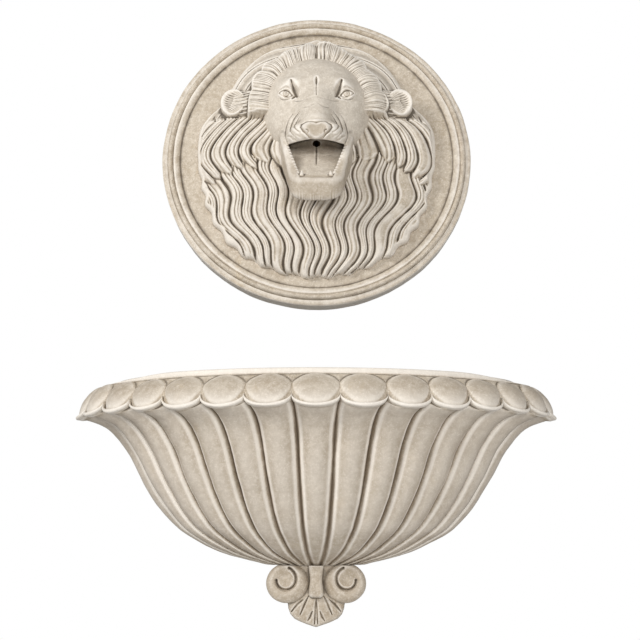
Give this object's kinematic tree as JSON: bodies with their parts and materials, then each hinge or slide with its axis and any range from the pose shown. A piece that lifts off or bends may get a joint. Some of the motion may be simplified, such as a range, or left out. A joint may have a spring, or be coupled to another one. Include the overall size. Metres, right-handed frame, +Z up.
{
  "type": "lion head wall fountain",
  "caption": "Wall fountain: a round stone plaque with a lion mask spouts water into a fluted half-oval stone basin on a scrolled corbel, fed by a small pump.",
  "frame": {"origin": "on the wall plane, on the fountain's centre line, at the level of the underside of the basin's lip", "axes": "+Y into the wall, -Y out to the viewer, +Z up, +X to the viewer's right"},
  "size_m": [0.9136, 0.3824, 1.244],
  "materials": {
    "stone": "honed beige limestone with a dark patina in the grooves",
    "steel": "stainless rod",
    "brass": "dull brass",
    "rubber": "matt black rubber",
    "black_plastic": "moulded black plastic",
    "blue_plastic": "moulded blue plastic",
    "white_plastic": "moulded white plastic"
  },
  "bodies": {
    "fountain": {"plaque_disc": "stone", "lion_mask": "stone", "mask_dowels": "steel", "plaque_anchor_rods": "steel", "spout_tube": "brass", "spout_gasket": "rubber", "spout_locknut": "brass", "basin_bowl": "stone", "basin_anchor_rods": "steel", "corbel": "stone", "corbel_dowel": "steel", "corbel_anchor_rod": "steel", "hose_grommet": "rubber", "pump_housing": "black_plastic", "pump_feet": "rubber", "shaft_bush_rear": "rubber", "impeller_shaft": "steel", "cable_gland": "rubber"},
    "impeller": {"impeller": "white_plastic"},
    "pump_cover": {"pump_cover": "black_plastic", "shaft_bush_front": "rubber", "outlet_barb": "black_plastic"},
    "flow_dial": {"flow_dial": "blue_plastic"},
    "drain_stopper": {"drain_stopper": "rubber"}
  },
  "joints": [
    {"name": "impeller_spin", "type": "hinge", "parent": "fountain", "child": "impeller", "pos_m": [0, -0.07, -0.174], "axis": [1, 0, 0], "continuous": true},
    {"name": "cover_slide", "type": "slide", "parent": "fountain", "child": "pump_cover", "axis": [1, 0, 0], "range_m": [0, 0.03]},
    {"name": "flow_dial_turn", "type": "hinge", "parent": "pump_cover", "child": "flow_dial", "pos_m": [0.036, -0.07, -0.174], "axis": [1, 0, 0], "range_deg": [0, 22.5]},
    {"name": "drain_stopper_pull", "type": "slide", "parent": "fountain", "child": "drain_stopper", "axis": [0, 0, 1], "range_m": [0, 0.06]}
  ]
}
